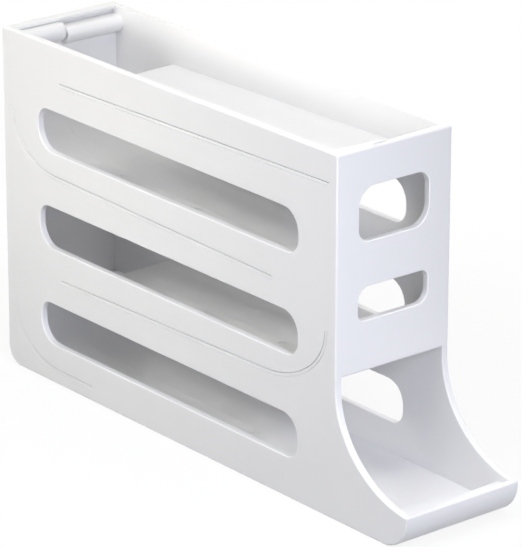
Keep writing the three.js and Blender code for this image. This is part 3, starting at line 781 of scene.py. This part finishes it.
SKIN_INPUTS = {
    "Geometry": ("Geometry",), "Object": ("Head",), "Material": ("Material",),
    "Float": (
        "Skin", "Root Skin", "Base", "Free Edge", "Root Edge", "Edge Round", "Stud Radius",
        "Stud Length",
    ),
    "Vector": ("Stud Start", "Stud End"), "Int": ("Stud Count",),
}


def new_node(tree, kind, inputs=None, family="Shader", **settings):
    """A node with its settings. Each input gets a value or a link, and a list of links in turn."""
    node = tree.nodes.new(f"{family}Node{kind}")
    for key, value in settings.items():
        setattr(node, key, value)
    for key, given in (inputs or {}).items():
        for value in given if isinstance(given, list) else [given]:
            if isinstance(value, bpy.types.NodeSocket):
                tree.links.new(value, node.inputs[key])
            else:
                node.inputs[key].default_value = value
    return node


def math_node(tree, operation, first, second):
    """The result of a sum of two sockets or numbers."""
    return new_node(tree, "Math", {0: first, 1: second}, operation=operation).outputs[0]


def mixed(tree, factor, first, second):
    """A colour between two others."""
    colours = {"Factor": factor, "A": first, "B": second}
    return new_node(tree, "Mix", colours, data_type="RGBA").outputs["Result"]


def new_tree(name, tree_kind, inputs, outputs):
    """A tree with its inputs and outputs, which are named by kind."""
    tree = bpy.data.node_groups.new(name, tree_kind)
    for in_out, sockets in (("INPUT", inputs), ("OUTPUT", outputs)):
        for kind, keys in sockets.items():
            for key in keys:
                tree.interface.new_socket(key, in_out=in_out, socket_type=f"NodeSocket{kind}")
    return tree, new_node(tree, "GroupInput", family="").outputs


def skin_tree(operation):
    """Sweeps a skin along its path, then joins its studs (UNION) or bores their holes
    (DIFFERENCE)."""
    name = f"Ramp skin {operation.lower()}"
    tree, given = new_tree(name, "GeometryNodeTree", SKIN_INPUTS, {"Geometry": ("Geometry",)})

    def make(kind, inputs, **settings):
        return new_node(tree, kind, inputs, "Geometry", **settings).outputs[0]

    path = make("MeshToCurve", {"Mesh": given["Geometry"]})
    level = make("SetCurveNormal", {"Curve": path, "Normal": (1, 0, 0)}, mode="FREE")
    under = math_node(tree, "SUBTRACT", 0.0, given["Base"])
    thin = math_node(tree, "SUBTRACT", under, given["Skin"])
    thick = math_node(tree, "SUBTRACT", under, given["Root Skin"])
    free, root = given["Free Edge"], given["Root Edge"]
    places = (root, under), (free, under), (free, thin), (root, thick)
    corners = {
        f"Point {number}": new_node(tree, "CombineXYZ", {"X": x, "Y": y}).outputs[0]
        for number, (x, y) in enumerate(places, 1)
    }
    section = make("CurvePrimitiveQuadrilateral", corners, mode="POINTS")
    soft = make("FilletCurve", {
        "Curve": section, "Radius": given["Edge Round"], "Count": FILLET_POINTS,
        "Limit Radius": True,
    }, mode="POLY")
    swept = make("CurveToMesh", {"Curve": level, "Profile Curve": soft, "Fill Caps": True})
    head = new_node(tree, "ObjectInfo", {"Object": given["Head"]}, "Geometry").outputs["Geometry"]
    whole = make("MeshBoolean", {"Mesh 2": [swept, head]}, operation="UNION", solver="EXACT")
    line = make("CurvePrimitiveLine", {"Start": given["Stud Start"], "End": given["Stud End"]})
    seats = make("ResampleCurve", {"Curve": line, "Count": given["Stud Count"]})
    stud = make("MeshCylinder", {
        "Vertices": STUD_SIDES, "Radius": given["Stud Radius"], "Depth": given["Stud Length"],
    })
    studs = make("InstanceOnPoints", {"Points": seats, "Instance": stud})
    solid = make("RealizeInstances", {"Geometry": studs})
    bored = {"Mesh 1": whole, "Mesh 2": solid}
    meshes = bored if operation == "DIFFERENCE" else {"Mesh 2": [whole, solid]}
    made = make("MeshBoolean", meshes, operation=operation, solver="EXACT")
    real = make("RealizeInstances", {"Geometry": made})
    finish = make("SetMaterial", {"Geometry": real, "Material": given["Material"]})
    new_node(tree, "GroupOutput", {"Geometry": finish}, "")
    return tree


# Lengths of the holes and the studs, in thicknesses of a skin.
HOLE_LENGTH, STUD_LENGTH = 4, 2.1


def ramp_half(ramp, side, trees, material):
    """One half of a ramp, swept by the tree and turned into a plain mesh."""
    settings, upper = ramp.settings, side == "left"
    name = f"{ramp.name}_{side}_skin"
    data = bpy.data.meshes.new(name)
    points = [Vector((0, p.x, p.y)) for p in without_doubles(ramp.path(side))]
    data.from_pydata(points, [(i, i + 1) for i in range(len(points) - 1)], [])
    path = linked(name, data, material)
    head = head_body(ramp, side, material) if ramp.name in HEADS else None
    edge, skin = -settings.lap_offset, settings.skin
    lift = (skin if upper else 0) / 2 + settings.gap / 4
    low, high = ramp.straight()
    start, end = (
        (edge - settings.lap / 2, y, ramp.lap(y) + lift)
        for y in (low + (high - low) * s for s in (settings.stud_share, 1 - settings.stud_share))
    )
    values = {
        "Skin": skin, "Root Skin": skin + settings.draft, "Base": ramp.base(side),
        "Free Edge": edge - (0 if upper else settings.lap),
        "Root Edge": SIDES[side] * (INNER_X + settings.root), "Edge Round": settings.edge,
        "Stud Start": start, "Stud End": end, "Stud Count": settings.stud_count,
        "Stud Radius": settings.stud / 2 + (settings.gap if upper else 0),
        "Stud Length": skin * (HOLE_LENGTH if upper else STUD_LENGTH),
        "Head": head, "Material": material,
    }
    modifier = path.modifiers.new("skin", "NODES")
    modifier.node_group = trees[side]
    for item in modifier.node_group.interface.items_tree:
        if item.name in values:
            modifier[item.identifier] = values[item.name]
    view = bpy.context.evaluated_depsgraph_get()
    swept = bpy.data.meshes.new_from_object(path.evaluated_get(view))
    path.modifiers.clear()
    path.data = swept
    mesh = bmesh.new()
    mesh.from_mesh(swept)
    write_closed(mesh, swept)
    shade(swept)
    if head:
        bpy.data.objects.remove(head)
    return path


# Materials.


PLASTIC_IOR, BUMP_STRENGTH, BUMP_DEPTH = 1.49, 0.25, 0.0002

# Detail and roughness of each noise, and the span of the slow one that the gloss follows.
NOISES = {"Grain": (3.0, 0.6), "Ripple": (2.0, 0.45)}
RIPPLE_LOW, RIPPLE_HIGH = 0.3, 0.7
GRAIN_SHARE, SHADE_SHARE = 0.05, 0.985

# The colour of each plastic, its least and greatest roughness and whether it has windows, whose
# round edges get a painted highlight.
PLASTICS = {
    "Side wall plastic": ("shell", 0.30, 0.40, True), "Front plastic": ("shell", 0.28, 0.38, True),
    "Rear plastic": ("shell", 0.30, 0.40, False), "Ramp plastic": ("inside", 0.30, 0.42, False),
}


def grain_group(name):
    """Moulded plastic: colour, roughness and height that change slowly over the surface."""
    group, given = new_tree(name, "ShaderNodeTree", {
        "Vector": ("Vector",), "Color": ("Colour", "Shade"),
        "Float": ("Grain Scale", "Ripple Scale", "Gloss Low", "Gloss High"),
    }, {"Color": ("Colour",), "Float": ("Roughness", "Height")})
    grain, ripple = (
        new_node(group, "TexNoise", {
            "Vector": given["Vector"], "Scale": given[f"{kind} Scale"], "Detail": detail,
            "Roughness": rough,
        }).outputs["Fac"]
        for kind, (detail, rough) in NOISES.items()
    )
    gloss = new_node(group, "MapRange", {
        "Value": ripple, "From Min": RIPPLE_LOW, "From Max": RIPPLE_HIGH,
        "To Min": given["Gloss Low"], "To Max": given["Gloss High"],
    })
    fine = math_node(group, "MULTIPLY", grain, GRAIN_SHARE)
    new_node(group, "GroupOutput", {
        "Colour": mixed(group, ripple, given["Colour"], given["Shade"]),
        "Roughness": gloss.outputs["Result"], "Height": math_node(group, "ADD", ripple, fine),
    }, "")
    return group


def painted_highlight_group(name):
    """Painted highlight on the window edges: a colour that turns lighter along the round edges of
    windows, where they would catch the light.
    """
    colours = {"Color": ("Colour", "Edge Colour")}
    group, given = new_tree(name, "ShaderNodeTree", colours, {"Color": ("Colour",)})
    # The mask of the painted highlight: strongest halfway round a window's outer edge.
    turns = new_node(group, "UVMap", uv_map="Edge").outputs["UV"]
    turn = new_node(group, "SeparateXYZ", {"Vector": turns}).outputs["X"]
    middle = math_node(group, "MULTIPLY", math_node(group, "PINGPONG", turn, 0.5), 2.0)
    light = mixed(group, middle, given["Colour"], given["Edge Colour"])
    new_node(group, "GroupOutput", {"Colour": light}, "")
    return group


def shared(tree, name, build, inputs):
    """The outputs of a node group, which is built where it is first used."""
    group = bpy.data.node_groups.get(name) or build(name)
    return new_node(tree, "Group", inputs, node_tree=group).outputs


def plastic(name, finish):
    """White moulded plastic with a satin gloss."""
    material = bpy.data.materials.new(name)
    material.use_nodes = True
    tree = material.node_tree
    base, low, high, windows = PLASTICS[name]
    base = getattr(finish, base)
    surface = shared(tree, "Moulded plastic", grain_group, {
        "Vector": new_node(tree, "TexCoord").outputs["Object"],
        "Colour": (*base, 1), "Shade": (*(SHADE_SHARE * c for c in base), 1),
        "Grain Scale": 1 / finish.grain, "Ripple Scale": 1 / finish.ripple,
        "Gloss Low": low, "Gloss High": high,
    })
    tone = surface["Colour"]
    # Painted highlight: the colour turns lighter along the round edges of the windows.
    if windows:
        colours = {"Colour": tone, "Edge Colour": (*finish.edge, 1)}
        tone = shared(tree, "Window edges", painted_highlight_group, colours)["Colour"]
    bump = new_node(tree, "Bump", {
        "Strength": BUMP_STRENGTH, "Distance": BUMP_DEPTH, "Height": surface["Height"],
    })
    shader = tree.nodes["Principled BSDF"].inputs
    shader["IOR"].default_value = PLASTIC_IOR
    tree.links.new(tone, shader["Base Color"])
    tree.links.new(surface["Roughness"], shader["Roughness"])
    tree.links.new(bump.outputs["Normal"], shader["Normal"])
    return material


def ride(piece, node):
    """Puts a finished piece in the place of its CAD node."""
    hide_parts(node)
    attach(piece, "root")


def all_ramps(context):
    """The ramps, from the top down."""
    return [Ramp(name, context.scene.dispenser_ramps) for name in FALLS]


# Operators.


class DISPENSER_OT_side_walls(bpy.types.Operator):
    """Build both side walls with their windows and grooves"""

    bl_idname = "dispenser.side_walls"
    bl_label = "Side walls"

    def execute(self, context):
        material = plastic("Side wall plastic", context.scene.dispenser_finish)
        for side in SIDES:
            piece = side_wall(side, context.scene.dispenser_shell, all_ramps(context), material)
            ride(piece, f"side_wall_{side}")
        return {"FINISHED"}


class DISPENSER_OT_panels(bpy.types.Operator):
    """Build the front panel, the rear panel and the outlet fence"""

    bl_idname = "dispenser.panels"
    bl_label = "Panels and fence"

    def execute(self, context):
        finish, shell = context.scene.dispenser_finish, context.scene.dispenser_shell
        ramps = all_ramps(context)
        face, back = plastic("Front plastic", finish), plastic("Rear plastic", finish)
        ride(front_panel(shell, ramps, face), "front_panel")
        ride(rear_panel(shell, back), "rear_panel")
        ride(outlet_fence(shell, ramps[3], face), "outlet_fence")
        return {"FINISHED"}


class DISPENSER_OT_ramps(bpy.types.Operator):
    """Sweep the half-width skins of the four ramps"""

    bl_idname = "dispenser.ramps"
    bl_label = "Ramps"

    def execute(self, context):
        material = plastic("Ramp plastic", context.scene.dispenser_finish)
        trees = {"left": skin_tree("DIFFERENCE"), "right": skin_tree("UNION")}
        for ramp in all_ramps(context):
            for side in SIDES:
                ride(ramp_half(ramp, side, trees, material), f"{ramp.name}_{side}")
        return {"FINISHED"}


class DISPENSER_OT_studio(bpy.types.Operator):
    """Set up the pale floor, the soft light and the camera"""

    bl_idname = "dispenser.studio"
    bl_label = "Studio"

    def execute(self, context):
        studio = context.scene.dispenser_studio
        floor(studio)
        sky(studio)
        for name, (size, place, aim, spread, tint) in LAMPS.items():
            lamp(name, getattr(studio, name), size, place, aim, spread, getattr(studio, tint))
        camera(context)
        context.scene.view_settings.view_transform = "Standard"
        return {"FINISHED"}


CENTRE = (0, 0, TOP_Z / 2)

# Lamps: the side of each square, its place, where it looks, its spread in degrees and its tint.
LAMPS = {
    "side": (0.6, (-0.9, -0.1, 1.1), CENTRE, 180, "white"),
    "top": (1.0, (0, 0.1, 1.3), CENTRE, 180, "white"),
    "right": (0.8, (1.0, 0.7, 0.6), CENTRE, 180, "white"),
    "corner": (0.3, (-0.26, -0.5, 0.22), CENTRE, 180, "cool"),
    "side_grid": (0.3, (-1.2, 0.2, 0.45), (-0.04, 0.1, 0.32), 45, "white"),
    "rear_grid": (0.3, (-1.2, 0.35, 0.35), (-0.04, 0.14, 0.19), 25, "white"),
    "front_grid": (0.25, (-0.35, -1.1, 0.75), (-0.16, -0.127, 0.17), 50, "cool"),
    "fence_grid": (0.12, (0.10, -0.75, 0.05), (0.042, -0.127, 0.012), 16, "cool"),
    "outlet_grid": (0.12, (-0.05, -0.42, 1.0), (0.0, -0.14, 0.02), 9, "white"),
}


# Half the width of the floor, and its height just under the lower edges of the side walls.
FLOOR_SPAN, FLOOR_Z = 6.0, -0.0002


def seen_directly(tree):
    """A mask of the rays that show a background, straight, in a mirror or through glass."""
    rays = new_node(tree, "LightPath").outputs
    seen = math_node(tree, "MAXIMUM", rays["Is Camera Ray"], rays["Is Glossy Ray"])
    return math_node(tree, "MAXIMUM", seen, rays["Is Transmission Ray"])


def two_faced(tree, mask, lit, seen, output):
    """Ends a tree with one shader for the light and, where the mask is 1, another to be seen."""
    shaders = {"Fac": mask, 1: lit.outputs[0], 2: seen.outputs[0]}
    mix = new_node(tree, "MixShader", shaders)
    new_node(tree, output, {"Surface": mix.outputs["Shader"]})


def floor(studio):
    """A pale floor that looks white to the camera and keeps the shadow."""
    data = bpy.data.meshes.new("floor")
    signs = ((-1, -1), (1, -1), (1, 1), (-1, 1))
    corners = [(FLOOR_SPAN * x, FLOOR_SPAN * y, FLOOR_Z) for x, y in signs]
    data.from_pydata(corners, [], [range(4)])
    material = bpy.data.materials.new("Pale floor")
    material.use_nodes = True
    tree = material.node_tree
    tree.nodes.clear()
    seen = seen_directly(tree)
    tone = mixed(tree, seen, (*studio.floor, 1), (*studio.seen_floor, 1))
    place = new_node(tree, "TexCoord").outputs["Object"]
    away = new_node(tree, "VectorMath", {0: place}, operation="LENGTH")
    fade = new_node(tree, "MapRange", {
        "Value": away.outputs["Value"], "From Min": studio.near, "From Max": studio.far,
        "To Min": studio.glow,
    }, interpolation_type="SMOOTHSTEP")
    two_faced(
        tree, math_node(tree, "MULTIPLY", seen, fade.outputs["Result"]),
        new_node(tree, "BsdfDiffuse", {"Color": tone}),
        new_node(tree, "Emission", {"Strength": 1.0}), "OutputMaterial",
    )
    linked("floor", data, material)


def sky(studio):
    """Even light, white where it is seen."""
    world = bpy.data.worlds.new("Studio")
    bpy.context.scene.world = world
    world.use_nodes = True
    tree = world.node_tree
    tree.nodes.clear()
    two_faced(
        tree, seen_directly(tree),
        new_node(tree, "Background", {"Strength": studio.sky}),
        new_node(tree, "Background", {"Color": (1, 1, 1, 1), "Strength": 1.0}),
        "OutputWorld",
    )


def lamp(name, power, size, place, aim, spread, tint):
    """A square soft lamp that looks at a place, its light held within a spread in degrees."""
    data = bpy.data.lights.new(name, "AREA")
    data.shape, data.size, data.energy = "SQUARE", size, power
    data.spread, data.color = radians(spread), tint
    source = placed(name, data)
    source.location = place
    source.rotation_euler = (Vector(aim) - source.location).to_track_quat("-Z", "Y").to_euler()


# The camera: its place, its turn to the right, down and round in degrees, its lens and its frame.
CAMERA_PLACE = (-1.3634, -1.6761, 0.9112)
CAMERA_TURNS = (39.5706, 20.4086, 0.1985)
CAMERA_LENS, CAMERA_SENSOR, CAMERA_SHIFT = 256.87, 36.0, (-0.0348, -0.0115)
CAMERA_RANGE = (0.05, 50.0)


def camera(context):
    """The camera at the photograph's angle."""
    data = bpy.data.cameras.new("camera")
    data.sensor_width, data.lens = CAMERA_SENSOR, CAMERA_LENS
    data.shift_x, data.shift_y = CAMERA_SHIFT
    data.clip_start, data.clip_end = CAMERA_RANGE
    right, down, roll = map(radians, CAMERA_TURNS)
    view = placed("camera", data)
    view.matrix_world = (
        Matrix.Translation(CAMERA_PLACE) @ Matrix.Rotation(-right, 4, "Z")
        @ Matrix.Rotation(pi / 2 - down, 4, "X") @ Matrix.Rotation(roll, 4, "Z")
    )
    context.scene.camera = view


class DISPENSER_PT_panel(bpy.types.Panel):
    """Lists the steps that build the dispenser"""

    bl_idname = "DISPENSER_PT_panel"
    bl_label = "Rolling Egg Dispenser"
    bl_space_type = "VIEW_3D"
    bl_region_type = "UI"
    bl_category = "Dispenser"

    def draw(self, context):
        for operator in OPERATORS:
            self.layout.operator(operator.bl_idname)
        for name in SETTINGS:
            group = getattr(context.scene, name)
            box = self.layout.box()
            box.label(text=group.bl_rna.description)
            for prop in type(group).__annotations__:
                box.prop(group, prop)


OPERATORS = (
    DISPENSER_OT_side_walls, DISPENSER_OT_panels, DISPENSER_OT_ramps, DISPENSER_OT_studio,
)
SETTINGS = {
    "dispenser_shell": ShellSettings, "dispenser_ramps": RampSettings,
    "dispenser_finish": FinishSettings, "dispenser_studio": StudioSettings,
}


def register():
    """Adds the settings, the operators and the panel."""
    for cls in (*SETTINGS.values(), *OPERATORS, DISPENSER_PT_panel):
        bpy.utils.register_class(cls)
    for name, cls in SETTINGS.items():
        setattr(bpy.types.Scene, name, PointerProperty(type=cls))


def unregister():
    """Takes them away again."""
    for name in SETTINGS:
        delattr(bpy.types.Scene, name)
    for cls in (DISPENSER_PT_panel, *reversed(OPERATORS), *SETTINGS.values()):
        bpy.utils.unregister_class(cls)


def main():
    """Builds the whole scene."""
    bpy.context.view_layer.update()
    register()
    bpy.ops.dispenser.side_walls()
    bpy.ops.dispenser.panels()
    bpy.ops.dispenser.ramps()
    bpy.ops.dispenser.studio()


if __name__ == "__main__":
    main()
